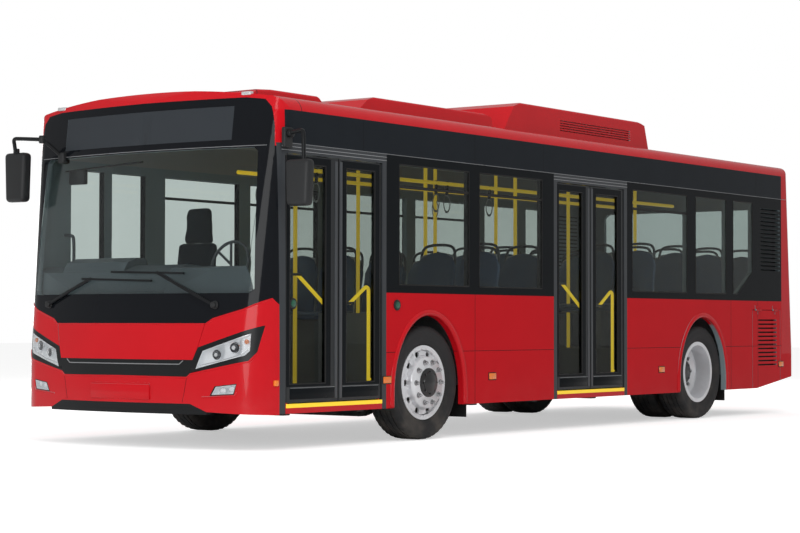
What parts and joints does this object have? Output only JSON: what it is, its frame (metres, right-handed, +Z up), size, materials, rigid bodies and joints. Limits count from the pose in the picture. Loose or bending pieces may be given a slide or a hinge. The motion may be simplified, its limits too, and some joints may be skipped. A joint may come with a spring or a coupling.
{
  "type": "single-deck city bus",
  "caption": "Low-entry single-deck city bus with two double-leaf doors, roof climate unit, raised rear platform and rear engine.",
  "frame": {"origin": "on the road, below the middle of the bus's length and width", "axes": "+Z up, -Y towards the front, +X towards the vehicle's left, which has the doors"},
  "size_m": [3, 8.92, 2.8899],
  "materials": {
    "red_paint": "gloss red enamel",
    "black_panel": "gloss black panel",
    "frame_black": "satin black",
    "black_plastic": "fine grain",
    "clear_glass": "tinted",
    "lamp_lens": "clear lens",
    "rear_lens": "red lens",
    "chassis_paint": "underbody black",
    "floor_cover": "speckled vinyl",
    "inner_panel": "light grain",
    "cast_engine": "dull",
    "wheel_silver": "silver enamel",
    "tyre_rubber": "black rubber",
    "seat_plastic": "blue-grey moulding",
    "driver_fabric": "dark grey weave",
    "dash_plastic": "soft grain",
    "yellow_tube": "yellow powder coat",
    "rubber_black": "matt",
    "steel_dark": "painted dark"
  },
  "bodies": {
    "bus_body": {"ac_unit": "red_paint", "bumper": "red_paint", "cant_rails": "black_panel", "chassis_frame": "chassis_paint", "corner_posts": "frame_black", "dashboard": "dash_plastic", "door_frames": "frame_black", "door_sills": "frame_black", "driver_seat": "driver_fabric", "engine": "cast_engine", "floor": "floor_cover", "front_axle": "steel_dark", "front_glass": "clear_glass", "front_lamps": "lamp_lens", "front_mask": "black_panel", "front_panels": "red_paint", "grille_and_lip": "black_plastic", "handrails": "yellow_tube", "left_lower_wall": "red_paint", "left_window_wall": "black_panel", "mirrors": "black_plastic", "mudflaps": "rubber_black", "passenger_seats": "seat_plastic", "rear_axle": "steel_dark", "rear_bumper": "red_paint", "rear_lamps": "rear_lens", "rear_wall": "red_paint", "rear_window": "clear_glass", "right_lower_wall": "red_paint", "right_window_wall": "black_panel", "roof": "red_paint", "roof_pods": "red_paint", "side_windows": "clear_glass", "steering_wheel": "black_plastic", "wheel_boxes": "inner_panel", "wipers": "black_plastic"},
    "front_left_knuckle": {"left_knuckle": "steel_dark"},
    "front_right_knuckle": {"right_knuckle": "steel_dark"},
    "front_left_wheel": {"front_left_rim": "wheel_silver", "front_left_tyre": "tyre_rubber"},
    "front_right_wheel": {"front_right_rim": "wheel_silver", "front_right_tyre": "tyre_rubber"},
    "rear_left_wheels": {"rear_left_rims": "wheel_silver", "rear_left_tyres": "tyre_rubber"},
    "rear_right_wheels": {"rear_right_rims": "wheel_silver", "rear_right_tyres": "tyre_rubber"},
    "front_door_front": {"front_door_front_leaf": "frame_black", "front_door_front_glass": "clear_glass"},
    "front_door_rear": {"front_door_rear_leaf": "frame_black", "front_door_rear_glass": "clear_glass"},
    "middle_door_front": {"middle_door_front_leaf": "frame_black", "middle_door_front_glass": "clear_glass"},
    "middle_door_rear": {"middle_door_rear_leaf": "frame_black", "middle_door_rear_glass": "clear_glass"},
    "engine_cover": {"engine_lid": "red_paint"},
    "side_hatch": {"service_hatch": "red_paint"}
  },
  "joints": [
    {"name": "front_left_steer", "type": "hinge", "parent": "bus_body", "child": "front_left_knuckle", "pos_m": [0.93, -2.245, 0.458], "axis": [0, 0, 1], "range_deg": [-38, 38]},
    {"name": "front_right_steer", "type": "hinge", "parent": "bus_body", "child": "front_right_knuckle", "pos_m": [-0.93, -2.245, 0.458], "axis": [0, 0, 1], "range_deg": [-38, 38]},
    {"name": "front_left_wheel_spin", "type": "hinge", "parent": "front_left_knuckle", "child": "front_left_wheel", "pos_m": [1.104, -2.245, 0.458], "axis": [1, 0, 0], "continuous": true},
    {"name": "front_right_wheel_spin", "type": "hinge", "parent": "front_right_knuckle", "child": "front_right_wheel", "pos_m": [-1.104, -2.245, 0.458], "axis": [1, 0, 0], "continuous": true},
    {"name": "rear_left_wheels_spin", "type": "hinge", "parent": "bus_body", "child": "rear_left_wheels", "pos_m": [1.104, 2.405, 0.458], "axis": [1, 0, 0], "continuous": true},
    {"name": "rear_right_wheels_spin", "type": "hinge", "parent": "bus_body", "child": "rear_right_wheels", "pos_m": [-1.104, 2.405, 0.458], "axis": [1, 0, 0], "continuous": true},
    {"name": "front_door_front_hinge", "type": "hinge", "parent": "bus_body", "child": "front_door_front", "pos_m": [1.249, -4.025, 1.26], "axis": [0, 0, 1], "range_deg": [0, 90]},
    {"name": "front_door_rear_hinge", "type": "hinge", "parent": "bus_body", "child": "front_door_rear", "pos_m": [1.249, -2.908, 1.26], "axis": [0, 0, -1], "range_deg": [0, 90]},
    {"name": "middle_door_front_hinge", "type": "hinge", "parent": "bus_body", "child": "middle_door_front", "pos_m": [1.249, -0.292, 1.26], "axis": [0, 0, 1], "range_deg": [0, 90]},
    {"name": "middle_door_rear_hinge", "type": "hinge", "parent": "bus_body", "child": "middle_door_rear", "pos_m": [1.249, 0.828, 1.26], "axis": [0, 0, -1], "range_deg": [0, 90]},
    {"name": "engine_lid_hinge", "type": "hinge", "parent": "bus_body", "child": "engine_cover", "pos_m": [0, 4.42818, 1.29365], "axis": [1, 0, 0], "range_deg": [0, 80]},
    {"name": "service_hatch_hinge", "type": "hinge", "parent": "bus_body", "child": "side_hatch", "pos_m": [1.285, 3.805, 1.077], "axis": [0, -1, 0], "range_deg": [0, 85]}
  ],
  "couplings": [
    {"joint": "front_right_steer", "follows": "front_left_steer", "ratio": 1}
  ]
}
